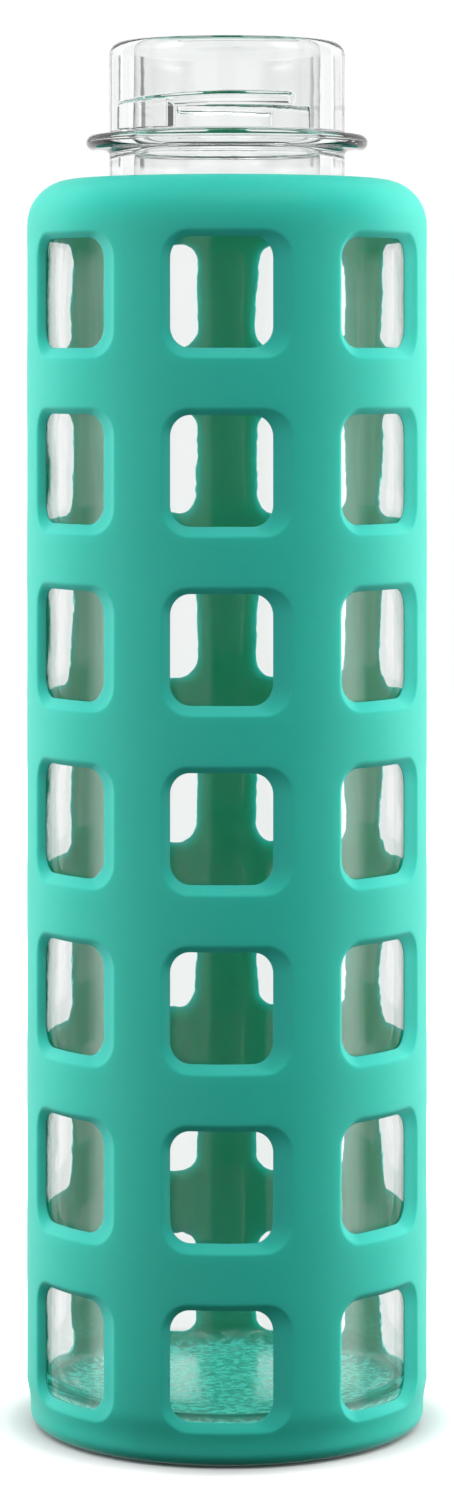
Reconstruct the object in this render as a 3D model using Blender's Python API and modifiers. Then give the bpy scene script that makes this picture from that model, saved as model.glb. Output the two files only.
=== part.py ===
"""Glass water bottle in a one-piece silicone sleeve.

The bottle stands on the XY plane with its axis on Z. Its front faces -Y, and an azimuth is counted from the
front towards +X. Lengths are in metres and angles in degrees, unless a name says otherwise.
"""

import math

import bmesh
import bpy

OBJECT_NAME = "glass_water_bottle"
TOTAL_HEIGHT = 0.2444
FACETS = 42  # round each turned solid: six to a column of windows
MERGE = 0.00001
SMOOTH_BELOW = 35.0
CLEARANCE = 0.0003  # between the glass and the sleeve

# Sleeve
SLEEVE_RADIUS = 0.0355
SLEEVE_TOP = 0.2200
SLEEVE_WALL = 0.0015
SLEEVE_FLOOR = 0.0020
SLEEVE_SHOULDER = 0.0081  # radius of the turn from the side to the flat top
SLEEVE_MOUTH = 0.0242  # radius of the opening round the neck
FOOT_RADIUS = 0.03485  # the lowest part of the sleeve is drawn in a little
FOOT_HEIGHT = 0.0040
FOOT_BLEND = 0.0045
FOOT_EDGE = 0.0014
RECESS_RADIUS = 0.0260
RECESS_DEPTH = 0.0006
RECESS_STEP = 0.0006

# Windows: rounded squares, wider at the outside than at the glass
WINDOW_COLUMNS = 7
WINDOW_ROWS = 7
WINDOW_PITCH = 0.03042
TOP_WINDOW_CENTRE = 0.1994
WINDOW_OUTSIDE = 0.0220
WINDOW_OUTSIDE_CORNER = 0.0047
WINDOW_INSIDE_WIDTH = 0.0177
WINDOW_INSIDE_HEIGHT = 0.0190
WINDOW_INSIDE_TWIST = -1.6  # how far round the inner opening sits from the outer one
WINDOW_INSIDE_LIFT = 0.00025
CUTTER_MARGIN = 0.0009  # how far a cutter reaches past each face of the wall
CUTTER_BEND = 0.0027  # a cutter bends at this distance each side of its middle

# Glass
GLASS_WALL = 0.0020
GLASS_FLOOR = 0.0065  # height of the inner floor at its edge
FLOOR_DOME = 0.0012  # how much the middle of the inner floor rises
UNDERSIDE_DOME = 0.0015
BEARING_RADIUS = 0.0270
HEEL = 0.0050
INNER_CORNER = 0.0045
NECK_RADIUS = 0.0209
BORE_RADIUS = 0.0165
BORE_FLARE = 0.0030
NECK_FILLET = 0.0020
RIM_OUTER_EDGE = 0.0022
RIM_INNER_EDGE = 0.0016

# Collar ring round the neck
RING_RADIUS = 0.0250
RING_CENTRE = 0.2266
RING_THICKNESS = 0.0026
RING_FILLET = 0.0006
RING_UNDERCUT = 0.0010

# Two partial threads, each with a stop lug between its low end and the ring
THREAD_STARTS = 2
THREAD_FROM = -66.0
THREAD_TO = 35.0
THREAD_CENTRE = 0.2338  # height from azimuth 0 on
THREAD_DROP = 0.0013  # how far its low end lies below that
THREAD_SAG = 1.4  # above 1 the thread starts level and steepens towards its low end
THREAD_RADIUS = 0.0012
THREAD_POINTS = 11
LUG_FROM = -64.0
LUG_TO = -27.0
LUG_PROUD = 0.0012
LUG_ROOT = 0.0012
LUG_EDGE = 0.0006

GLASS_COLOUR = (0.86, 0.93, 0.91, 1.0)
SILICONE_COLOUR = (0.055, 0.40, 0.32, 1.0)


def clear_scene():
    for old in list(bpy.data.objects):
        bpy.data.objects.remove(old, do_unlink=True)


def make_collection(name):
    collection = bpy.data.collections.new(name)
    bpy.context.scene.collection.children.link(collection)
    return collection


def make_material(name, colour, roughness, metallic=0.0, transmission=0.0):
    material = bpy.data.materials.new(name)
    material.use_nodes = True
    shader = material.node_tree.nodes["Principled BSDF"]
    shader.inputs["Base Color"].default_value = colour
    shader.inputs["Roughness"].default_value = roughness
    shader.inputs["Metallic"].default_value = metallic
    shader.inputs["Transmission Weight"].default_value = transmission
    material.diffuse_color = colour
    return material


def glass_material():
    return make_material("clear_glass", GLASS_COLOUR, 0.02, transmission=1.0)


def silicone_material():
    return make_material("teal_silicone", SILICONE_COLOUR, 0.45)


def arc(centre_r, centre_z, radius, start, end, steps):
    """Points of an arc in the (r, z) plane. Angles are in degrees from the +r direction."""
    turns = [math.radians(start + (end - start) * step / steps) for step in range(steps + 1)]
    return [(centre_r + radius * math.cos(turn), centre_z + radius * math.sin(turn)) for turn in turns]


def on_cylinder(radius, azimuth, height):
    turn = math.radians(azimuth)
    return (radius * math.sin(turn), -radius * math.cos(turn), height)


def turned_solid(name, profile, collection, material):
    """An (r, z) outline from the axis, up the inside and down the outside, turned about Z."""
    mesh = bpy.data.meshes.new(name)
    edges = [(index, index + 1) for index in range(len(profile) - 1)]
    mesh.from_pydata([(r, 0.0, z) for r, z in profile], edges, [])
    mesh.materials.append(material)
    solid = bpy.data.objects.new(name, mesh)
    collection.objects.link(solid)
    screw = solid.modifiers.new("turn", "SCREW")
    screw.axis = "Z"
    screw.steps = FACETS
    screw.render_steps = FACETS
    screw.use_merge_vertices = True
    screw.merge_threshold = MERGE
    screw.use_smooth_shade = True
    return solid


def hide_helper(helper):
    helper.hide_render = True
    helper.display_type = "WIRE"


def add_boolean(solid, operation, other):
    boolean = solid.modifiers.new(f"{operation.lower()}_{other.name}", "BOOLEAN")
    boolean.operation = operation
    boolean.solver = "EXACT"
    boolean.object = other


def apply_modifiers(solid):
    """Replaces the object's mesh with its evaluated one and marks the edges that stay sharp."""
    graph = bpy.context.evaluated_depsgraph_get()
    mesh = bpy.data.meshes.new_from_object(solid.evaluated_get(graph))
    solid.modifiers.clear()
    solid.data = mesh
    mesh.shade_smooth()
    mesh.set_sharp_from_angle(angle=math.radians(SMOOTH_BELOW))


def sleeve_profile():
    """From the middle of the sleeve's floor, up its inside, round the mouth and down its outside."""
    glass_radius = SLEEVE_RADIUS - SLEEVE_WALL
    under_top = SLEEVE_TOP - SLEEVE_WALL
    inner_heel = HEEL + CLEARANCE
    inner_shoulder = SLEEVE_SHOULDER - SLEEVE_WALL
    shoulder_height = SLEEVE_TOP - SLEEVE_SHOULDER
    lip = SLEEVE_WALL / 2
    inside = [(0.0, SLEEVE_FLOOR)]
    inside += arc(glass_radius - inner_heel, SLEEVE_FLOOR + inner_heel, inner_heel, -90, 0, 3)
    inside += arc(glass_radius - inner_shoulder, shoulder_height, inner_shoulder, 0, 90, 3)
    mouth = arc(SLEEVE_MOUTH, under_top + lip, lip, -90, -270, 3)
    outside = arc(SLEEVE_RADIUS - SLEEVE_SHOULDER, shoulder_height, SLEEVE_SHOULDER, 90, 0, 4)
    outside += [(SLEEVE_RADIUS, FOOT_HEIGHT + FOOT_BLEND), (FOOT_RADIUS, FOOT_HEIGHT)]
    outside += arc(FOOT_RADIUS - FOOT_EDGE, FOOT_EDGE, FOOT_EDGE, 0, -90, 2)
    underside = [(RECESS_RADIUS, 0.0), (RECESS_RADIUS - RECESS_STEP, RECESS_DEPTH), (0.0, RECESS_DEPTH)]
    return inside + mouth + outside + underside


def rounded_block(length, width, height, corner, segments):
    """A block along X, centred on the origin, whose four long edges are rounded."""
    block = bmesh.new()
    bmesh.ops.create_cube(block, size=1.0)
    bmesh.ops.scale(block, vec=(length, width, height), verts=block.verts)
    long_edges = [
        edge for edge in block.edges if abs(edge.verts[0].co.x - edge.verts[1].co.x) > length / 2
    ]
    bmesh.ops.bevel(
        block, geom=long_edges, offset=corner, segments=segments, profile=0.5, affect="EDGES"
    )
    return block


def add_bends(block, offsets):
    """Cuts the block across Y at each offset, so that wrapping it round the axis can bend it there."""
    for offset in offsets:
        bmesh.ops.bisect_plane(
            block,
            geom=block.verts[:] + block.edges[:] + block.faces[:],
            plane_co=(0.0, offset, 0.0),
            plane_no=(0.0, 1.0, 0.0),
        )


def wrapped_object(name, block, place, collection):
    """Moves each point of the block with place(x, y, z), which gives radius, azimuth and height."""
    for vert in block.verts:
        vert.co = on_cylinder(*place(*vert.co))
    mesh = bpy.data.meshes.new(name)
    block.to_mesh(mesh)
    block.free()
    wrapped = bpy.data.objects.new(name, mesh)
    collection.objects.link(wrapped)
    return wrapped


def window_cutter(name, column_azimuth, centre_height, collection):
    """A tapered rounded square that follows the sleeve round: the outer opening outside, the inner one inside."""
    outer_radius = SLEEVE_RADIUS
    inner_radius = SLEEVE_RADIUS - SLEEVE_WALL
    middle_radius = (outer_radius + inner_radius) / 2
    length = SLEEVE_WALL + 2 * CUTTER_MARGIN
    block = rounded_block(length, WINDOW_OUTSIDE, WINDOW_OUTSIDE, WINDOW_OUTSIDE_CORNER, 2)
    add_bends(block, (-CUTTER_BEND, CUTTER_BEND))
    narrowing_width = WINDOW_INSIDE_WIDTH / inner_radius * outer_radius / WINDOW_OUTSIDE - 1
    narrowing_height = WINDOW_INSIDE_HEIGHT / WINDOW_OUTSIDE - 1

    def place(x, y, z):
        inward = (outer_radius - middle_radius - x) / SLEEVE_WALL
        across = y * (1 + inward * narrowing_width)
        up = z * (1 + inward * narrowing_height) + inward * WINDOW_INSIDE_LIFT
        azimuth = math.degrees(across / outer_radius) + inward * WINDOW_INSIDE_TWIST
        return middle_radius + x, column_azimuth + azimuth, centre_height + up

    return wrapped_object(name, block, place, collection)


def joined_cutters(cutters, name):
    """One cutter from many that don't touch."""
    whole = bmesh.new()
    for cutter in cutters:
        whole.from_mesh(cutter.data)
    joined = cutters[0]
    whole.to_mesh(joined.data)
    whole.free()
    for cutter in cutters[1:]:
        bpy.data.objects.remove(cutter, do_unlink=True)
    joined.name = name
    hide_helper(joined)
    return joined


def make_sleeve(parts, cutters):
    sleeve = turned_solid("silicone_sleeve", sleeve_profile(), parts, silicone_material())
    windows = [
        window_cutter(
            f"window_{row}_{column}",
            column * 360 / WINDOW_COLUMNS,
            TOP_WINDOW_CENTRE - row * WINDOW_PITCH,
            cutters,
        )
        for row in range(WINDOW_ROWS)
        for column in range(WINDOW_COLUMNS)
    ]
    add_boolean(sleeve, "DIFFERENCE", joined_cutters(windows, "sleeve_windows"))
    apply_modifiers(sleeve)
    return sleeve


def glass_body_radius():
    return SLEEVE_RADIUS - SLEEVE_WALL - CLEARANCE


def glass_inside():
    """From the middle of the inner floor to the top of the bore."""
    inner_radius = glass_body_radius() - GLASS_WALL
    ceiling = SLEEVE_TOP - SLEEVE_WALL - CLEARANCE - GLASS_WALL
    inside = [(0.0, GLASS_FLOOR + FLOOR_DOME), (inner_radius / 2, GLASS_FLOOR + FLOOR_DOME * 0.75)]
    inside += arc(inner_radius - INNER_CORNER, GLASS_FLOOR + INNER_CORNER, INNER_CORNER, -90, 0, 3)
    inside += arc(inner_radius - INNER_CORNER, ceiling - INNER_CORNER, INNER_CORNER, 0, 90, 3)
    inside += arc(BORE_RADIUS + BORE_FLARE, ceiling + BORE_FLARE, BORE_FLARE, -90, -180, 3)
    return inside


def glass_rim():
    rim = arc(BORE_RADIUS + RIM_INNER_EDGE, TOTAL_HEIGHT - RIM_INNER_EDGE, RIM_INNER_EDGE, 180, 90, 3)
    rim += arc(NECK_RADIUS - RIM_OUTER_EDGE, TOTAL_HEIGHT - RIM_OUTER_EDGE, RIM_OUTER_EDGE, 90, 0, 3)
    return rim


def glass_ring():
    """The collar, from the neck above it to the neck below it."""
    half = RING_THICKNESS / 2
    ring = [(NECK_RADIUS, RING_CENTRE + half + RING_FILLET), (NECK_RADIUS + RING_FILLET, RING_CENTRE + half)]
    ring += arc(RING_RADIUS - half, RING_CENTRE, half, 90, -90, 4)
    ring += [(NECK_RADIUS, RING_CENTRE - half - RING_UNDERCUT)]
    return ring


def glass_outside():
    """From the neck below the ring, down to the middle of the underside."""
    body_radius = glass_body_radius()
    shoulder_top = SLEEVE_TOP - SLEEVE_WALL - CLEARANCE
    shoulder = SLEEVE_SHOULDER - SLEEVE_WALL - CLEARANCE
    bottom = SLEEVE_FLOOR + CLEARANCE
    outside = arc(NECK_RADIUS + NECK_FILLET, shoulder_top + NECK_FILLET, NECK_FILLET, -180, -90, 3)
    outside += arc(body_radius - shoulder, shoulder_top - shoulder, shoulder, 90, 0, 3)
    outside += arc(body_radius - HEEL, bottom + HEEL, HEEL, 0, -90, 3)
    outside += [(BEARING_RADIUS, bottom), (BEARING_RADIUS * 0.6, bottom + UNDERSIDE_DOME * 0.7)]
    outside += [(0.0, bottom + UNDERSIDE_DOME)]
    return outside


def thread_height(azimuth):
    return THREAD_CENTRE - THREAD_DROP * max(0.0, azimuth / THREAD_FROM) ** THREAD_SAG


def thread_solid(name, turned_by, collection):
    """A bead half sunk in the neck, level over most of its run and falling to its low end, tapered to its ends."""
    curve = bpy.data.curves.new(name, "CURVE")
    curve.dimensions = "3D"
    curve.bevel_depth = THREAD_RADIUS
    curve.bevel_resolution = 2
    curve.use_fill_caps = True
    spline = curve.splines.new("POLY")
    spline.points.add(THREAD_POINTS - 1)
    for index, point in enumerate(spline.points):
        along = index / (THREAD_POINTS - 1)
        azimuth = THREAD_FROM + (THREAD_TO - THREAD_FROM) * along
        at = on_cylinder(NECK_RADIUS, azimuth + turned_by, thread_height(azimuth))
        point.co = (*at, 1.0)
        point.radius = 0.6 if index in (0, THREAD_POINTS - 1) else 1.0
    guide = bpy.data.objects.new(name + "_curve", curve)
    collection.objects.link(guide)
    graph = bpy.context.evaluated_depsgraph_get()
    mesh = bpy.data.meshes.new_from_object(guide.evaluated_get(graph))
    bpy.data.objects.remove(guide, do_unlink=True)
    bead = bmesh.new()
    bead.from_mesh(mesh)
    bmesh.ops.remove_doubles(bead, verts=bead.verts, dist=MERGE)
    bmesh.ops.recalc_face_normals(bead, faces=bead.faces)
    bead.to_mesh(mesh)
    bead.free()
    thread = bpy.data.objects.new(name, mesh)
    collection.objects.link(thread)
    hide_helper(thread)
    return thread


def lug_solid(name, turned_by, collection):
    """The stop: a curved block that stands from the ring up into the thread."""
    bottom = RING_CENTRE
    top = thread_height(LUG_FROM)
    middle_azimuth = (LUG_FROM + LUG_TO) / 2
    width = math.radians(LUG_TO - LUG_FROM) * NECK_RADIUS
    block = rounded_block(LUG_PROUD + LUG_ROOT, width, top - bottom, LUG_EDGE, 1)
    add_bends(block, (-width / 6, width / 6))

    def place(x, y, z):
        radius = NECK_RADIUS + (LUG_PROUD - LUG_ROOT) / 2 + x
        return radius, middle_azimuth + turned_by + math.degrees(y / NECK_RADIUS), (top + bottom) / 2 + z

    lug = wrapped_object(name, block, place, collection)
    hide_helper(lug)
    return lug


def make_glass(parts, cutters):
    profile = glass_inside() + glass_rim() + glass_ring() + glass_outside()
    bottle = turned_solid("glass_bottle", profile, parts, glass_material())
    for start in range(THREAD_STARTS):
        turned_by = start * 360 / THREAD_STARTS
        add_boolean(bottle, "UNION", lug_solid(f"stop_lug_{start}", turned_by, cutters))
        add_boolean(bottle, "UNION", thread_solid(f"thread_{start}", turned_by, cutters))
    apply_modifiers(bottle)
    return bottle


def main():
    clear_scene()
    parts = make_collection(OBJECT_NAME)
    cutters = make_collection("cutters")
    stand = bpy.data.objects.new("bottle_origin", None)
    parts.objects.link(stand)
    for solid in (make_glass(parts, cutters), make_sleeve(parts, cutters)):
        solid.parent = stand


main()
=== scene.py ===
import math

import bmesh
import bpy
import numpy as np
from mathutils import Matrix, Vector


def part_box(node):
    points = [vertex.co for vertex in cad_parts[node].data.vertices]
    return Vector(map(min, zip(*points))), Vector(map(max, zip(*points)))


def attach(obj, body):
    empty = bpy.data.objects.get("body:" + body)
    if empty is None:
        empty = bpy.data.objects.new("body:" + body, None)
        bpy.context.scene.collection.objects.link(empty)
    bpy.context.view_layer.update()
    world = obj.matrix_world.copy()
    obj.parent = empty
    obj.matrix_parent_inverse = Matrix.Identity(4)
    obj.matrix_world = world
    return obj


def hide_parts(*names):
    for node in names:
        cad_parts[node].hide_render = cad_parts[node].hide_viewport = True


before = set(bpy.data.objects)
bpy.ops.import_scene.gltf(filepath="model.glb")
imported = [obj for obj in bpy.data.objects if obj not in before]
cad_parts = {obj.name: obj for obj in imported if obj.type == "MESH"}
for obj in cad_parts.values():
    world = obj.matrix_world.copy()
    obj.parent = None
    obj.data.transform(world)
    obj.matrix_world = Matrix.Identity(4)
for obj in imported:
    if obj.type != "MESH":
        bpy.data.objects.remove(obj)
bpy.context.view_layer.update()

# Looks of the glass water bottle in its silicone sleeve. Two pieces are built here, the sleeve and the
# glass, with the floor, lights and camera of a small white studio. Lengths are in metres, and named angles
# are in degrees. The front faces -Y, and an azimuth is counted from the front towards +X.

WELD = 0.000002
NEARLY = 0.0001  # a distance that still counts as being on the floor or the wall
SEED = 7

# ---------------------------------------------------------------- dimensions
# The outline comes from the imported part, and the rest are the wall and edge sizes it was designed with.
_, sleeve_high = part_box("silicone_sleeve")
_, glass_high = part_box("glass_bottle")
SLEEVE_RADIUS = sleeve_high.x
SLEEVE_TOP = sleeve_high.z
GLASS_TOP = glass_high.z

SLEEVE_WALL = 0.0015
SLEEVE_FLOOR = 0.0020
SHOULDER_RADIUS = 0.0081
MOUTH_RADIUS = 0.0242
FOOT_RADIUS = 0.03485
FOOT_HEIGHT = 0.0040
FOOT_BLEND = 0.0045  # the height over which the foot widens to the body
FOOT_EDGE = 0.0024
RECESS_RADIUS = 0.0260
RECESS_DEPTH = 0.0006
CONTACT_GAP = 0.0001  # between the sleeve and the glass

COLUMNS = 7
ROWS = 7
ROW_PITCH = 0.03042
TOP_ROW_HEIGHT = 0.1994
OPENING_HALF_WIDTH = 0.0112
OPENING_HALF_HEIGHT = 0.01078
OPENING_CORNER = 0.0047
INNER_HALF_WIDTH = 0.0092  # in the front three columns, whose inner openings sit off centre
BACK_INNER_HALF_WIDTH = 0.0099
FRONT_COLUMNS = (0, 1, COLUMNS - 1)
INNER_HALF_HEIGHT = 0.0095
INNER_CORNER = 0.0037
INNER_TWIST = -1.6
INNER_LIFT = 0.00025
LOWEST_BORDER = 0.0030  # where the last row of cells meets the foot
# Loops of a window from the outer surface inwards: how far outside the opening, and how deep in the wall.
SOFT_EDGE = ((0.0005, 0.0), (0.00025, 0.00002), (0.00005, 0.00009), (-0.00012, 0.00022))
INNER_EDGE = ((0.0, 0.0013), (0.00003, 0.00142), (0.00013, 0.0015))
SIDE_STEPS = 5  # segments on half a side of a window
CORNER_STEPS = 14  # segments round a corner of a window

GLASS_WALL = 0.0020
GLASS_FLOOR = 0.0065
FLOOR_DOME = 0.0012
UNDERSIDE_DOME = 0.0015
BEARING_RADIUS = 0.0270
HEEL = 0.0050
FLOOR_CORNER = 0.0045
NECK_RADIUS = 0.0209
BORE_RADIUS = 0.0165
BORE_FLARE = 0.0030
NECK_FILLET = 0.0020
RIM_OUTER_EDGE = 0.0022
RIM_INNER_EDGE = 0.0016
RING_RADIUS = 0.0250
RING_HEIGHT = 0.2266
RING_THICKNESS = 0.0026
RING_FILLET = 0.0006
RING_UNDERCUT = 0.0010
GLASS_SHOULDER = 0.0045  # radius of the shoulder's inside
AZIMUTHS = 504  # points round the glass
LONGEST_STEP = 0.0022  # along the glass's outline
NECK_STEP = 0.00014  # the same on the neck, whose threads need it
# The stipple on the floor inside and the ripples in the wall are sums of this many waves of these lengths.
STIPPLE_DEPTH = 0.000012
STIPPLE_COUNT = 40
STIPPLE_WAVES = (0.0012, 0.0030)
RIPPLE_DEPTH = 0.00003
RIPPLE_COUNT = 14
RIPPLE_WAVES = (0.010, 0.030)

THREAD_STARTS = 2
THREAD_FROM = -66.0
THREAD_TO = 35.0
THREAD_HEIGHT = 0.2338
THREAD_DROP = 0.0013  # how far its low end lies below its middle
THREAD_SAG = 1.4  # 1 makes the drop straight, and more makes it steeper towards the low end
THREAD_UPPER_FLANK = 0.0009
THREAD_LOWER_FLANK = 0.0013
THREAD_PROUD = 0.0009
THREAD_ROUNDNESS = 1.2  # 1 gives a parabola in section, and more a narrower crest
THREAD_RUN_IN = 5.0
THREAD_RUN_OUT = 6.0
LUG_FROM = -64.0
LUG_TO = -27.0
LUG_PROUD = 0.0010
LUG_EDGE = 0.0006


# ---------------------------------------------------------------- mesh helpers
def around(radius, azimuth, height):
    """Points at these radii, azimuths (radians) and heights, as an array of x, y, z."""
    radius, azimuth, height = np.broadcast_arrays(radius, azimuth, height)
    return np.stack([radius * np.sin(azimuth), -radius * np.cos(azimuth), height], axis=-1)


def arc(centre_r, centre_z, radius, start, end, steps):
    """(r, z) points of an arc. Angles are from the +r direction."""
    turns = np.radians(np.linspace(start, end, steps + 1))
    return list(zip(centre_r + radius * np.cos(turns), centre_z + radius * np.sin(turns)))


def finer(outline, step):
    """The outline with every stretch longer than step divided evenly."""
    points = [outline[0]]
    for (r0, z0), (r1, z1) in zip(outline, outline[1:]):
        parts = max(1, math.ceil(math.hypot(r1 - r0, z1 - z0) / step))
        points += [(r0 + (r1 - r0) * i / parts, z0 + (z1 - z0) * i / parts) for i in range(1, parts + 1)]
    return points


def smoothstep(low, high, value):
    """0 below low and 1 above high, with a smooth rise between."""
    t = np.clip((value - low) / (high - low), 0.0, 1.0)
    return t * t * (3 - 2 * t)


class Shell:
    """Points and faces collected loop by loop."""

    def __init__(self):
        self.points = []
        self.faces = []

    def add(self, points):
        """Adds points and returns their indices."""
        start = len(self.points)
        self.points.extend(map(tuple, np.asarray(points, float).reshape(-1, 3)))
        return list(range(start, len(self.points)))

    def bridge(self, first, second):
        """Joins two loops of as many points with a band of faces."""
        count = len(first)
        for i in range(count):
            j = (i + 1) % count
            self.faces.append((first[i], first[j], second[j], second[i]))

    def cap(self, loop, point):
        """Closes a loop with a fan of faces round this point."""
        centre = self.add([point])[0]
        count = len(loop)
        self.faces += [(loop[i], loop[(i + 1) % count], centre) for i in range(count)]

    def loops(self, many):
        """Adds these loops and bridges each to the next; returns the indices of each loop's points."""
        added = [self.add(loop) for loop in many]
        for first, second in zip(added, added[1:]):
            self.bridge(first, second)
        return added

    def build(self, name, material, sharp_above):
        """The object made of these faces, welded, and smooth except at edges sharper than this angle."""
        mesh = bpy.data.meshes.new(name)
        mesh.from_pydata(self.points, [], self.faces)
        tidy = bmesh.new()
        tidy.from_mesh(mesh)
        bmesh.ops.remove_doubles(tidy, verts=tidy.verts, dist=WELD)
        bmesh.ops.recalc_face_normals(tidy, faces=tidy.faces)
        tidy.to_mesh(mesh)
        tidy.free()
        mesh.materials.append(material)
        mesh.shade_smooth()
        mesh.set_sharp_from_angle(angle=math.radians(sharp_above))
        piece = bpy.data.objects.new(name, mesh)
        bpy.context.scene.collection.objects.link(piece)
        return piece


# ---------------------------------------------------------------- sleeve
SHOULDER_START = SLEEVE_TOP - SHOULDER_RADIUS
INNER_HEEL = HEEL + CONTACT_GAP


def outer_line(s):
    """(r, z) on the sleeve's outside at s, the height up to the shoulder and then the way round it."""
    turn = np.maximum(0.0, s - SHOULDER_START) / SHOULDER_RADIUS
    foot = 1.0 - smoothstep(FOOT_HEIGHT, FOOT_HEIGHT + FOOT_BLEND, s)
    radius = SLEEVE_RADIUS - SHOULDER_RADIUS * (1 - np.cos(turn)) - (SLEEVE_RADIUS - FOOT_RADIUS) * foot
    return radius, np.minimum(s, SHOULDER_START) + SHOULDER_RADIUS * np.sin(turn)


def inner_line(s):
    """(r, z) on the sleeve's inside, opposite outer_line(s)."""
    shoulder = SHOULDER_RADIUS - SLEEVE_WALL
    turn = np.maximum(0.0, s - SHOULDER_START) / SHOULDER_RADIUS
    heel_top = SLEEVE_FLOOR + INNER_HEEL
    heel_turn = np.maximum(0.0, heel_top - s) / INNER_HEEL
    narrowing = shoulder * (1 - np.cos(turn)) + INNER_HEEL * (1 - np.cos(heel_turn))
    height = np.clip(s, heel_top, SHOULDER_START) + shoulder * np.sin(turn) - INNER_HEEL * np.sin(heel_turn)
    return SLEEVE_RADIUS - SLEEVE_WALL - narrowing, height


def wall_points(across, s, depth, azimuth):
    """Points in the sleeve's wall. across is measured round the outside, and depth is from there inwards."""
    share = depth / SLEEVE_WALL
    outer_r, outer_z = outer_line(s)
    inner_r, inner_z = inner_line(s)
    radius = outer_r + (inner_r - outer_r) * share
    height = outer_z + (inner_z - outer_z) * share
    return around(radius, azimuth + across / SLEEVE_RADIUS, height)


def rounded_loop(half_width, half_height, corner):
    """A rounded rectangle, counterclockwise from the middle of its right side."""
    side = np.linspace(0.0, 1.0, SIDE_STEPS + 1)[:-1]
    turns = np.radians(np.linspace(0.0, 90.0, CORNER_STEPS + 1))
    right = np.stack([np.full(SIDE_STEPS, half_width), side * (half_height - corner)], axis=-1)
    centre = (half_width - corner, half_height - corner)
    bend = centre + corner * np.stack([np.cos(turns), np.sin(turns)], axis=-1)
    top = np.stack([(1 - side[1:]) * centre[0], np.full(SIDE_STEPS - 1, half_height)], axis=-1)
    quarter = np.concatenate([right, bend, top, [[0.0, half_height]]])
    return four_quarters(quarter)


def square_loop(half_width, half_height):
    """A rectangle with as many points as rounded_loop, spaced evenly along each side."""
    steps = SIDE_STEPS + CORNER_STEPS // 2
    share = np.linspace(0.0, 1.0, steps + 1)
    right = np.stack([np.full(steps + 1, half_width), share * half_height], axis=-1)
    top = np.stack([(1 - share[1:]) * half_width, np.full(steps, half_height)], axis=-1)
    return four_quarters(np.concatenate([right, top]))


def four_quarters(quarter):
    """Mirrors the first quarter of a loop into the other three."""
    forward, backward = quarter[:-1], quarter[::-1][:-1]
    return np.concatenate([forward, backward * (-1, 1), forward * (-1, -1), backward * (1, -1)])


def opening_loops(edge, half_width, half_height, corner, shift):
    """The loops of one edge of a window, each with its depth, moved by shift."""
    return [
        (rounded_loop(half_width + spread, half_height + spread, corner + spread) + shift, depth)
        for spread, depth in edge
    ]


def window_cell(shell, row, column):
    """The wall that goes with one window, from its cell's border outside to the border inside."""
    azimuth = 2 * math.pi * column / COLUMNS
    half_width, twist = BACK_INNER_HALF_WIDTH, 0.0
    if column in FRONT_COLUMNS:
        half_width, twist = INNER_HALF_WIDTH, INNER_TWIST
    centre = TOP_ROW_HEIGHT - row * ROW_PITCH
    border = square_loop(math.pi * SLEEVE_RADIUS / COLUMNS, ROW_PITCH / 2)
    low_share = min(1.0, (centre - LOWEST_BORDER) / (ROW_PITCH / 2))
    border[:, 1] = np.where(border[:, 1] < 0, border[:, 1] * low_share, border[:, 1])
    outside = opening_loops(SOFT_EDGE, OPENING_HALF_WIDTH, OPENING_HALF_HEIGHT, OPENING_CORNER, (0.0, 0.0))
    shift = (math.radians(twist) * SLEEVE_RADIUS, INNER_LIFT)
    inside = opening_loops(INNER_EDGE, half_width, INNER_HALF_HEIGHT, INNER_CORNER, shift)
    stations = [(border, 0.0)]
    stations += [(border + (outside[0][0] - border) * share, 0.0) for share in (0.35, 0.7)]
    stations += outside
    last, first = outside[-1], inside[0]
    stations.append(((last[0] + first[0]) / 2, (last[1] + first[1]) / 2))
    stations += inside
    stations += [(inside[-1][0] + (border - inside[-1][0]) * share, SLEEVE_WALL) for share in (0.5, 1.0)]
    shell.loops([wall_points(loop[:, 0], centre + loop[:, 1], depth, azimuth) for loop, depth in stations])


def sleeve_azimuths():
    """The azimuths of the points on the cells' top borders, in radians, once round."""
    steps = 2 * SIDE_STEPS + CORNER_STEPS
    return np.arange(COLUMNS * steps) * 2 * math.pi / (COLUMNS * steps)


def sleeve_top_outline():
    """From the top row's border, over the shoulder and round the mouth, to the border inside."""
    start = math.degrees((TOP_ROW_HEIGHT + ROW_PITCH / 2 - SHOULDER_START) / SHOULDER_RADIUS)
    centre = SLEEVE_RADIUS - SHOULDER_RADIUS
    lip = SLEEVE_WALL / 2
    outline = arc(centre, SHOULDER_START, SHOULDER_RADIUS, start, 90, 12)
    outline += arc(MOUTH_RADIUS, SLEEVE_TOP - lip, lip, 90, 270, 12)
    outline += arc(centre, SHOULDER_START, SHOULDER_RADIUS - SLEEVE_WALL, 90, start, 10)
    return outline


def sleeve_foot_outline():
    """From the bottom row's border outside, round the foot's edge, to the middle of the underside."""
    outline = [(FOOT_RADIUS, LOWEST_BORDER)]
    outline += arc(FOOT_RADIUS - FOOT_EDGE, FOOT_EDGE, FOOT_EDGE, 0, -90, 8)
    outline += [(RECESS_RADIUS, 0.0), (RECESS_RADIUS - RECESS_DEPTH, RECESS_DEPTH)]
    outline += [(RECESS_RADIUS * share, RECESS_DEPTH) for share in (0.7, 0.4, 0.1)]
    return outline


def sleeve_floor_outline():
    """From the bottom row's border inside, round the heel, to the middle of the sleeve's floor."""
    start = -math.degrees((SLEEVE_FLOOR + INNER_HEEL - LOWEST_BORDER) / INNER_HEEL)
    centre = SLEEVE_RADIUS - SLEEVE_WALL - INNER_HEEL
    outline = arc(centre, SLEEVE_FLOOR + INNER_HEEL, INNER_HEEL, start, -90, 6)
    return outline + [(centre * share, SLEEVE_FLOOR) for share in (0.7, 0.4, 0.1)]


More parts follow.
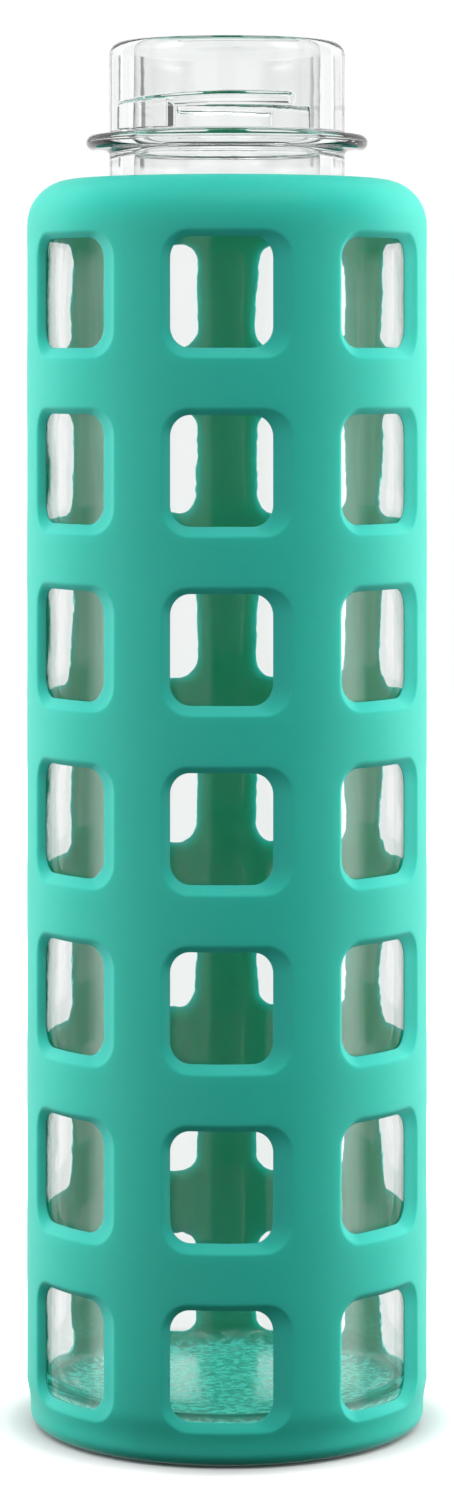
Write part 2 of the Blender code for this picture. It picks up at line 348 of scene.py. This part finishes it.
def build_sleeve(material):
    """The sleeve: a cell of wall for each window, a shoulder, and a foot with its floor."""
    shell = Shell()
    for row in range(ROWS):
        for column in range(COLUMNS):
            window_cell(shell, row, column)
    azimuths = sleeve_azimuths()
    shell.loops([around(r, azimuths, z) for r, z in sleeve_top_outline()])
    for outline in (sleeve_foot_outline(), sleeve_floor_outline()):
        rings = shell.loops([around(r, azimuths, z) for r, z in outline])
        shell.cap(rings[-1], (0.0, 0.0, outline[-1][1]))
    return shell.build("sleeve", material, sharp_above=50)


# ---------------------------------------------------------------- glass
BODY_RADIUS = SLEEVE_RADIUS - SLEEVE_WALL - CONTACT_GAP
BODY_INNER = BODY_RADIUS - GLASS_WALL
BODY_TOP = SLEEVE_TOP - SLEEVE_WALL - CONTACT_GAP
CEILING = BODY_TOP - GLASS_WALL
GLASS_BOTTOM = SLEEVE_FLOOR + CONTACT_GAP
RING_HALF = RING_THICKNESS / 2
NECK_FOOT = RING_HEIGHT + RING_HALF + RING_FILLET
NECK_TOP = GLASS_TOP - RIM_OUTER_EDGE
INSIDE, RIM, NECK, OUTSIDE = range(4)  # the sections of the glass's outline


def dome(radius, edge, rise, steps):
    """A shallow dome's (r, z) points from just off the axis out to radius."""
    shares = np.linspace(0.02, 1.0, steps)
    return [(radius * share, edge + rise * (1 - share * share)) for share in shares]


def glass_inside():
    """From the middle of the floor inside, up the wall and the bore, to the rim."""
    outline = dome(BODY_INNER - FLOOR_CORNER, GLASS_FLOOR, FLOOR_DOME, 48)
    outline += arc(BODY_INNER - FLOOR_CORNER, GLASS_FLOOR + FLOOR_CORNER, FLOOR_CORNER, -90, 0, 12)[1:]
    outline += arc(BODY_INNER - GLASS_SHOULDER, CEILING - GLASS_SHOULDER, GLASS_SHOULDER, 0, 90, 12)
    outline += arc(BORE_RADIUS + BORE_FLARE, CEILING + BORE_FLARE, BORE_FLARE, -90, -180, 12)
    outline += arc(BORE_RADIUS + RIM_INNER_EDGE, GLASS_TOP - RIM_INNER_EDGE, RIM_INNER_EDGE, 180, 90, 10)
    return finer(outline, LONGEST_STEP)


def glass_rim():
    """Round the rim's outer edge."""
    return arc(NECK_RADIUS - RIM_OUTER_EDGE, NECK_TOP, RIM_OUTER_EDGE, 90, 0, 10)


def glass_neck():
    """Down the outside of the neck, in steps fine enough for the threads."""
    return finer([(NECK_RADIUS, NECK_TOP), (NECK_RADIUS, NECK_FOOT)], NECK_STEP)[1:-1]


def glass_outside():
    """From the neck's foot, round the collar ring and down the body, to the middle of the underside."""
    outline = [(NECK_RADIUS, NECK_FOOT)]
    outline += arc(NECK_RADIUS + RING_FILLET, NECK_FOOT, RING_FILLET, 180, 270, 5)[1:]
    outline += arc(RING_RADIUS - RING_HALF, RING_HEIGHT, RING_HALF, 90, -90, 16)
    under = RING_HEIGHT - RING_HALF
    outline += arc(NECK_RADIUS + RING_UNDERCUT, under - RING_UNDERCUT, RING_UNDERCUT, 90, 180, 6)
    outline += arc(NECK_RADIUS + NECK_FILLET, BODY_TOP + NECK_FILLET, NECK_FILLET, -180, -90, 8)
    shoulder = SHOULDER_RADIUS - SLEEVE_WALL - CONTACT_GAP
    outline += arc(BODY_RADIUS - shoulder, BODY_TOP - shoulder, shoulder, 90, 0, 12)
    outline += arc(BODY_RADIUS - HEEL, GLASS_BOTTOM + HEEL, HEEL, 0, -90, 12)
    outline += dome(BEARING_RADIUS, GLASS_BOTTOM, UNDERSIDE_DOME, 24)[::-1]
    return finer(outline, LONGEST_STEP)


def turned_back(azimuth, turned_by):
    """azimuth, in degrees, from this start's own zero, between -180 and 180."""
    return (azimuth - turned_by + 180) % 360 - 180


def thread_relief(azimuth, height):
    """How far the threads and their stop lugs stand out of the neck. Azimuth is in degrees."""
    relief = np.zeros(np.broadcast(azimuth, height).shape)
    for start in range(THREAD_STARTS):
        turn = turned_back(azimuth, start * 360 / THREAD_STARTS)
        line = THREAD_HEIGHT - THREAD_DROP * np.clip(turn / THREAD_FROM, 0.0, 1.0) ** THREAD_SAG
        flank = np.where(height > line, THREAD_UPPER_FLANK, THREAD_LOWER_FLANK)
        off = np.clip(np.abs(height - line) / flank, 0.0, 1.0)
        ends = smoothstep(THREAD_FROM, THREAD_FROM + THREAD_RUN_IN, turn)
        ends = ends * (1 - smoothstep(THREAD_TO - THREAD_RUN_OUT, THREAD_TO, turn))
        thread = THREAD_PROUD * ends * (1 - off * off) ** THREAD_ROUNDNESS
        edge = math.degrees(LUG_EDGE / NECK_RADIUS)
        sides = smoothstep(LUG_FROM - edge, LUG_FROM + edge, turn)
        sides = sides * (1 - smoothstep(LUG_TO - edge, LUG_TO + edge, turn))
        lug = LUG_PROUD * sides * (1 - smoothstep(line, line + LUG_EDGE, height))
        relief = np.maximum(relief, np.maximum(thread, lug))
    return relief


def ripples(azimuth, along, count, lengths, seed):
    """A soft random ripple of about unit height that closes round Z, with waves between these lengths."""
    pick = np.random.default_rng(seed)
    total = np.zeros(np.broadcast(azimuth, along).shape)
    for _ in range(count):
        wave = pick.uniform(*lengths)
        lean = pick.uniform(-1, 1)
        turns = round(2 * math.pi * BODY_INNER / wave * lean)
        rate = 2 * math.pi / wave * math.sqrt(1 - lean * lean)
        total += np.cos(turns * azimuth + rate * along + pick.uniform(0, 2 * math.pi))
    return total / math.sqrt(count)


def stipple(x, y, count, lengths, seed):
    """A random pebbled surface of about unit height over the plane."""
    pick = np.random.default_rng(seed)
    total = np.zeros(x.shape)
    for _ in range(count):
        wave = 2 * math.pi / pick.uniform(*lengths)
        way = pick.uniform(0, 2 * math.pi)
        total += np.cos(wave * (x * math.cos(way) + y * math.sin(way)) + pick.uniform(0, 2 * math.pi))
    return total / math.sqrt(count)


def build_glass(material):
    """The bottle: its outline turned round the axis, with the stipple, ripples and threads added to it."""
    inside, rim, neck, outside = glass_inside(), glass_rim(), glass_neck(), glass_outside()
    outline = np.array(inside + rim + neck + outside)
    lengths = [len(inside), len(rim), len(neck), len(outside)]
    section = np.repeat([INSIDE, RIM, NECK, OUTSIDE], lengths)[:, None]
    radius, height = outline[:, :1], outline[:, 1:]
    azimuth = np.arange(AZIMUTHS)[None, :] * 2 * math.pi / AZIMUTHS
    inner = section == INSIDE
    on_floor = inner & (height < GLASS_FLOOR + FLOOR_DOME + NEARLY) & (radius < BODY_INNER - FLOOR_CORNER)
    on_wall = inner & (radius > BODY_INNER - NEARLY) & (height < CEILING)
    x, y = radius * np.sin(azimuth), -radius * np.cos(azimuth)
    lift = np.where(on_floor, STIPPLE_DEPTH * stipple(x, y, STIPPLE_COUNT, STIPPLE_WAVES, SEED), 0.0)
    swell = np.where(section == NECK, thread_relief(np.degrees(azimuth), height), 0.0)
    wavy = RIPPLE_DEPTH * ripples(azimuth, height, RIPPLE_COUNT, RIPPLE_WAVES, SEED + 1)
    swell = swell + np.where(on_wall, wavy, 0.0)
    loops = around(radius + swell, azimuth, height + lift)
    shell = Shell()
    rings = shell.loops(list(loops))
    shell.cap(rings[0], (0.0, 0.0, outline[0][1]))
    shell.cap(rings[-1], (0.0, 0.0, outline[-1][1]))
    return shell.build("bottle", material, sharp_above=60)


# ---------------------------------------------------------------- looks
# Colours are linear. A noise is given by its scale, about the number of blotches in a metre, and its detail.
SILICONE_COLOURS = ((0.034, 0.545, 0.430), (0.040, 0.590, 0.470))
SILICONE_TINT = (60.0, 3.0)
SILICONE_ROUGHNESS = (0.42, 0.52)
SILICONE_SHEEN = (300.0, 2.0)
SILICONE_GRAIN = (2500.0, 2.0)
SILICONE_GRAIN_DEPTH = 0.00001
SILICONE_IOR = 1.41
SCATTERED_SHARE = 0.29  # of the light that the silicone returns, from under its surface
SCATTER_RADII = (0.25, 1.0, 0.65)
SCATTER_SCALE = 0.0070

GLASS_COLOURS = ((0.975, 0.992, 0.986), (0.985, 0.996, 0.992))
GLASS_TINT = (25.0, 2.0)
GLASS_ROUGHNESS = (0.0, 0.015)
GLASS_SMEARS = (90.0, 2.0)
GLASS_WAVES = (220.0, 2.0)
GLASS_BUMP_DEPTH = 0.00002
GLASS_IOR = 1.5

# The stippled floor inside the glass is frosted mint, in patches.
FROST_HEIGHTS = (0.0055, 0.0092)
FROST_HEIGHT_FADE = 0.0005
FROST_RADIUS = 0.0315
FROST_RADIUS_FADE = 0.003
FROST_COLOUR = (0.40, 0.95, 0.85)
FROST_SHARE = 0.90  # how much less light the full frost lets through
FROST_ROUGHNESS = 0.3
FROST_PATCHES = (700.0, 4.0)
FROST_PATCH_EDGES = (0.36, 0.64)
FROST_LEAST = 0.3  # between the patches
PEBBLES = (900.0, 2.0)
PEBBLE_STRENGTH = 4.0
# A faint glow on it stands in for the light that the translucent sleeve passes up into the base.
BASE_GLOW_COLOUR = (0.07, 1.0, 0.79)
BASE_GLOW = 0.37

HEEL_CLOUD_TOP = 0.0088
HEEL_CLOUD_FADE = 0.001
HEEL_CLOUD_SHARE = 0.18


class Nodes:
    """Adds nodes to one node tree. A value is a socket to link, a number or, for a colour, a tuple."""

    def __init__(self, tree):
        self.tree = tree

    def new(self, kind):
        return self.tree.nodes.new(kind)

    def put(self, value, socket):
        """Links the value to the socket, or sets it there."""
        if isinstance(value, bpy.types.NodeSocket):
            self.tree.links.new(value, socket)
        elif isinstance(value, tuple):
            socket.default_value = (*value, 1.0)
        else:
            socket.default_value = value

    def place(self):
        """Where a point is on its object."""
        return self.new("ShaderNodeTexCoord").outputs["Object"]

    def noise(self, place, scale, detail):
        """A noise between 0 and 1 that changes from place to place."""
        noise = self.new("ShaderNodeTexNoise")
        self.put(scale, noise.inputs["Scale"])
        self.put(detail, noise.inputs["Detail"])
        self.put(place, noise.inputs["Vector"])
        return noise.outputs["Fac"]

    def between(self, factor, low, high):
        """Maps a factor from 0 to 1 to a range of numbers."""
        ramp = self.new("ShaderNodeMapRange")
        self.put(low, ramp.inputs["To Min"])
        self.put(high, ramp.inputs["To Max"])
        self.put(factor, ramp.inputs["Value"])
        return ramp.outputs["Result"]

    def blend(self, factor, first, second):
        """A mix of two colours."""
        mix = self.new("ShaderNodeMix")
        mix.data_type = "RGBA"
        self.put(first, mix.inputs["A"])
        self.put(second, mix.inputs["B"])
        self.put(factor, mix.inputs["Factor"])
        return mix.outputs["Result"]

    def bump(self, height, depth):
        """A normal bent by this height, where a height of 1 stands this deep."""
        bump = self.new("ShaderNodeBump")
        self.put(depth, bump.inputs["Distance"])
        self.put(height, bump.inputs["Height"])
        return bump.outputs["Normal"]

    def math(self, operation, first, second=0.0):
        node = self.new("ShaderNodeMath")
        node.operation = operation
        self.put(first, node.inputs[0])
        self.put(second, node.inputs[1])
        return node.outputs["Value"]

    def rise(self, value, low, high, top=1.0):
        """0 below low and top above high."""
        ramp = self.new("ShaderNodeMapRange")
        ramp.interpolation_type = "SMOOTHSTEP"
        self.put(low, ramp.inputs["From Min"])
        self.put(high, ramp.inputs["From Max"])
        self.put(top, ramp.inputs["To Max"])
        self.put(value, ramp.inputs["Value"])
        return ramp.outputs["Result"]

    def fall(self, value, low, high):
        """1 below low and 0 above high."""
        return self.math("SUBTRACT", 1.0, self.rise(value, low, high))

    def band(self, value, low, high, soft):
        """1 between low and high, fading to 0 over soft on each side."""
        begun = self.rise(value, low - soft, low + soft)
        ended = self.rise(value, high - soft, high + soft)
        return self.math("SUBTRACT", begun, ended)

    def height_and_radius(self, place):
        """Height and distance from the Z axis of this place."""
        parts = self.new("ShaderNodeSeparateXYZ")
        self.put(place, parts.inputs["Vector"])
        squares = [self.math("MULTIPLY", parts.outputs[axis], parts.outputs[axis]) for axis in ("X", "Y")]
        return parts.outputs["Z"], self.math("SQRT", self.math("ADD", *squares))


def node_material(name):
    """A new material, its nodes, and the inputs of its shader."""
    material = bpy.data.materials.new(name)
    material.use_nodes = True
    return material, Nodes(material.node_tree), material.node_tree.nodes["Principled BSDF"].inputs


def silicone_material():
    """Satin silicone, slightly uneven in colour and sheen, that scatters some light under its surface."""
    material, nodes, shader = node_material("teal_silicone")
    place = nodes.place()
    nodes.put(nodes.blend(nodes.noise(place, *SILICONE_TINT), *SILICONE_COLOURS), shader["Base Color"])
    nodes.put(nodes.between(nodes.noise(place, *SILICONE_SHEEN), *SILICONE_ROUGHNESS), shader["Roughness"])
    nodes.put(nodes.bump(nodes.noise(place, *SILICONE_GRAIN), SILICONE_GRAIN_DEPTH), shader["Normal"])
    nodes.put(SILICONE_IOR, shader["IOR"])
    nodes.put(SCATTERED_SHARE, shader["Subsurface Weight"])
    nodes.put(SCATTER_SCALE, shader["Subsurface Scale"])
    shader["Subsurface Radius"].default_value = SCATTER_RADII
    return material


def glass_material():
    """Clear glass. It is frosted mint on the stippled floor inside, with a painted glow on the frost, and
    slightly cloudy in the heel.
    """
    material, nodes, shader = node_material("clear_glass")
    place = nodes.place()
    height, radius = nodes.height_and_radius(place)
    on_floor = nodes.math(
        "MULTIPLY",
        nodes.band(height, *FROST_HEIGHTS, FROST_HEIGHT_FADE),
        nodes.fall(radius, FROST_RADIUS - FROST_RADIUS_FADE, FROST_RADIUS),
    )
    patches = nodes.rise(nodes.noise(place, *FROST_PATCHES), *FROST_PATCH_EDGES)
    patches = nodes.math("ADD", FROST_LEAST, nodes.math("MULTIPLY", patches, 1.0 - FROST_LEAST))
    frost = nodes.math("MULTIPLY", on_floor, patches)
    in_heel = nodes.fall(height, HEEL_CLOUD_TOP - HEEL_CLOUD_FADE, HEEL_CLOUD_TOP)

    clear = nodes.blend(nodes.noise(place, *GLASS_TINT), *GLASS_COLOURS)
    nodes.put(nodes.blend(on_floor, clear, FROST_COLOUR), shader["Base Color"])
    smooth = nodes.between(nodes.noise(place, *GLASS_SMEARS), *GLASS_ROUGHNESS)
    rough = nodes.math("ADD", smooth, nodes.math("MULTIPLY", frost, FROST_ROUGHNESS))
    nodes.put(rough, shader["Roughness"])
    cloud = nodes.math(
        "MAXIMUM",
        nodes.math("MULTIPLY", frost, FROST_SHARE),
        nodes.math("MULTIPLY", in_heel, HEEL_CLOUD_SHARE),
    )
    nodes.put(nodes.math("SUBTRACT", 1.0, cloud), shader["Transmission Weight"])
    pebbles = nodes.math("MULTIPLY", nodes.noise(place, *PEBBLES), PEBBLE_STRENGTH)
    relief = nodes.math("ADD", nodes.noise(place, *GLASS_WAVES), nodes.math("MULTIPLY", on_floor, pebbles))
    nodes.put(nodes.bump(relief, GLASS_BUMP_DEPTH), shader["Normal"])
    nodes.put(GLASS_IOR, shader["IOR"])
    # Painted light: the frost glows faintly in place of the light the translucent sleeve passes up into the
    # base.
    nodes.put(BASE_GLOW_COLOUR, shader["Emission Color"])
    nodes.put(nodes.math("MULTIPLY", frost, BASE_GLOW), shader["Emission Strength"])
    return material


# ---------------------------------------------------------------- studio
CAMERA_DISTANCE = 0.762
CAMERA_HEIGHT = 0.189
CAMERA_LENS = 102.9
CAMERA_SHIFT = -0.2636
BOUNCES = 24  # for the glass that is seen through glass

# The floor is for the camera only. The card under it takes the light from below off the bottle's foot.
FLOOR_RINGS = (1.6, 0.8, 0.2)
FLOOR_HEIGHT = -0.0002
FLOOR_GREY = 0.91
FLOOR_GLOW = 0.25
FLOOR_FAR_GLOW = 0.6
FAR_GLOW_RADII = (0.05, 0.6)
FLOOR_ROUGHNESS = 0.9
FLOOR_GRAIN = (3.0, 2.0)
FLOOR_GRAIN_SHARE = 0.03
CARD_RINGS = (0.14, 0.10, 0.05)
CARD_HEIGHT = -0.0006
CARD_GREY = 0.10
# The contact shadow round the foot, painted into the floor's colour and glow: the radii where it fades out,
# and how dark it is.
FOOT_SHADE_RADII = (0.0340, 0.0440)
FOOT_SHADE = 0.74

ROOM_LIGHT = 0.10
# What the glass and the sheen see. Each light covers a range of azimuths and elevations, fading over soft
# degrees, on both sides of the bottle unless it says one_side. Those from 123 to 200 degrees are a white
# backdrop, dimmer in two narrow strips that draw dark lines in the neck. The others are panels beside the
# bottle and a faint one in front.
WORLD_LIGHTS = (
    {"azimuth": (123, 200), "elevation": (-50, 1.8), "soft": 1, "radiance": 0.90, "one_side": False},
    {"azimuth": (88, 123), "elevation": (-50, 1.8), "soft": 1, "radiance": 0.45, "one_side": False},
    {"azimuth": (176, 200), "elevation": (1.8, 30), "soft": 1, "radiance": 0.92, "one_side": False},
    {"azimuth": (159, 176), "elevation": (1.8, 30), "soft": 1, "radiance": 0.80, "one_side": False},
    {"azimuth": (154, 159), "elevation": (1.8, 30), "soft": 1, "radiance": 0.50, "one_side": True},
    {"azimuth": (-159, -154), "elevation": (1.8, 30), "soft": 1, "radiance": 0.15, "one_side": True},
    {"azimuth": (123, 154), "elevation": (1.8, 60), "soft": 1, "radiance": 0.95, "one_side": False},
    {"azimuth": (60, 88), "elevation": (-18, 1), "soft": 7, "radiance": 2.70, "one_side": False},
    {"azimuth": (-60, -10), "elevation": (-40, 24), "soft": 2, "radiance": 0.40, "one_side": True},
)

SIDE_DISTANCE = 0.90
SIDE_HEIGHT = 0.30
SIDE_LIGHTS = (
    {"name": "left_softbox", "azimuth": -115, "size": (0.5, 0.9), "radiance": 6.0},
    {"name": "right_softbox", "azimuth": 115, "size": (0.5, 0.9), "radiance": 8.0},
    {"name": "left_key", "azimuth": -75, "size": (0.5, 0.5), "radiance": 2.5},
    {"name": "right_key", "azimuth": 75, "size": (0.5, 0.5), "radiance": 3.6},
)
OVERHEAD_AZIMUTHS = (-60, 0, 60)
OVERHEAD_SIZE = (1.82, 1.20)
OVERHEAD_ELEVATION = 66
OVERHEAD_DISTANCE = 2.6
OVERHEAD_RADIANCE = 2.7


def floor_material(name, grey, glow, far_glow):
    """A floor with a painted contact shadow: it gets darker and stops glowing close round the bottle's foot.
    """
    material, nodes, shader = node_material(name)
    place = nodes.place()
    _, radius = nodes.height_and_radius(place)
    grain = nodes.math("MULTIPLY", nodes.noise(place, *FLOOR_GRAIN), FLOOR_GRAIN_SHARE)
    # Painted contact shadow: the colour darkens and the glow fades out close round the foot.
    clear_of_foot = nodes.math("SUBTRACT", nodes.rise(radius, *FOOT_SHADE_RADII), grain)
    painted_shade_grey = (grey * FOOT_SHADE,) * 3
    nodes.put(nodes.blend(clear_of_foot, painted_shade_grey, (grey,) * 3), shader["Base Color"])
    nodes.put(FLOOR_ROUGHNESS, shader["Roughness"])
    nodes.put((1.0, 1.0, 1.0), shader["Emission Color"])
    glow_outside_painted_shade = nodes.rise(radius, *FOOT_SHADE_RADII, glow)
    far = nodes.rise(radius, *FAR_GLOW_RADII, far_glow)
    nodes.put(nodes.math("ADD", glow_outside_painted_shade, far), shader["Emission Strength"])
    return material


def build_disc(name, radii, height, material):
    """A flat disc through these rings, out of sight of reflections and of the glass."""
    shell = Shell()
    azimuths = np.radians(np.arange(0, 360, 5))
    rings = shell.loops([around(r, azimuths, height) for r in radii])
    shell.cap(rings[-1], (0.0, 0.0, height))
    disc = shell.build(name, material, sharp_above=30)
    disc.data.flip_normals()
    disc.visible_glossy = False
    disc.visible_transmission = False
    return disc


def build_floor():
    """The white floor, and the card under it."""
    white = floor_material("floor_white", FLOOR_GREY, FLOOR_GLOW, FLOOR_FAR_GLOW)
    floor = build_disc("floor", FLOOR_RINGS, FLOOR_HEIGHT, white)
    floor.visible_diffuse = False
    card = build_disc("card", CARD_RINGS, CARD_HEIGHT, floor_material("card_grey", CARD_GREY, 0.0, 0.0))
    card.visible_camera = False


def add_area_light(name, place, size, radiance, through_glass):
    """A rectangular light that faces the middle of the bottle and isn't seen in reflections."""
    data = bpy.data.lights.new(name, "AREA")
    data.shape = "RECTANGLE"
    data.size, data.size_y = size
    data.energy = radiance * math.pi * size[0] * size[1]
    light = bpy.data.objects.new(name, data)
    light.location = place
    light.rotation_euler = (place - Vector((0, 0, GLASS_TOP / 2))).to_track_quat("Z", "Y").to_euler()
    light.visible_glossy = False
    light.visible_transmission = through_glass
    bpy.context.scene.collection.objects.link(light)


def add_side_lights():
    """A softbox and a key light on each side."""
    for light in SIDE_LIGHTS:
        place = Vector(around(SIDE_DISTANCE, math.radians(light["azimuth"]), SIDE_HEIGHT))
        add_area_light(light["name"], place, light["size"], light["radiance"], False)


def add_overheads():
    """Large soft lights above, from the front and from both sides."""
    tilt = math.radians(OVERHEAD_ELEVATION)
    height = GLASS_TOP / 2 + OVERHEAD_DISTANCE * math.sin(tilt)
    for index, azimuth in enumerate(OVERHEAD_AZIMUTHS):
        place = Vector(around(OVERHEAD_DISTANCE * math.cos(tilt), math.radians(azimuth), height))
        add_area_light(f"overhead_{index}", place, OVERHEAD_SIZE, OVERHEAD_RADIANCE, True)


def build_world():
    """A dim room with the world lights in it."""
    world = bpy.data.worlds.new("studio")
    world.use_nodes = True
    nodes = Nodes(world.node_tree)
    background = world.node_tree.nodes["Background"].inputs
    way = nodes.new("ShaderNodeSeparateXYZ")
    nodes.put(nodes.new("ShaderNodeTexCoord").outputs["Generated"], way.inputs["Vector"])
    toward_front = nodes.math("MULTIPLY", way.outputs["Y"], -1.0)
    azimuth = nodes.math("ARCTAN2", way.outputs["X"], toward_front)
    aside = nodes.math("ABSOLUTE", azimuth)
    elevation = nodes.math("ARCSINE", way.outputs["Z"])
    total = ROOM_LIGHT
    for light in WORLD_LIGHTS:
        soft = math.radians(light["soft"])
        across = azimuth if light["one_side"] else aside
        patch = nodes.math(
            "MULTIPLY",
            nodes.band(across, *map(math.radians, light["azimuth"]), soft),
            nodes.band(elevation, *map(math.radians, light["elevation"]), soft),
        )
        total = nodes.math("ADD", total, nodes.math("MULTIPLY", patch, light["radiance"]))
    nodes.put(total, background["Strength"])
    nodes.put((1.0, 1.0, 1.0), background["Color"])
    bpy.context.scene.world = world


def build_camera():
    """A level camera above the middle of the bottle, shifted down to frame it."""
    data = bpy.data.cameras.new("camera")
    data.lens = CAMERA_LENS
    data.shift_y = CAMERA_SHIFT
    camera = bpy.data.objects.new("camera", data)
    camera.location = (0.0, -CAMERA_DISTANCE, CAMERA_HEIGHT)
    camera.rotation_euler = (math.radians(90), 0.0, 0.0)
    bpy.context.scene.collection.objects.link(camera)
    bpy.context.scene.camera = camera


def build_studio():
    """Floor, lights, world and camera, and how the render treats colour and glass."""
    build_floor()
    add_side_lights()
    add_overheads()
    build_world()
    build_camera()
    bpy.context.scene.view_settings.view_transform = "Standard"
    bpy.context.scene.cycles.transmission_bounces = BOUNCES
    bpy.context.scene.cycles.max_bounces = BOUNCES


def main():
    pieces = (
        (build_sleeve(silicone_material()), "silicone_sleeve", "teal_silicone"),
        (build_glass(glass_material()), "glass_bottle", "clear_glass"),
    )
    for piece, node, slot in pieces:
        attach(piece, "root")
        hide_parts(node)
    build_studio()


main()
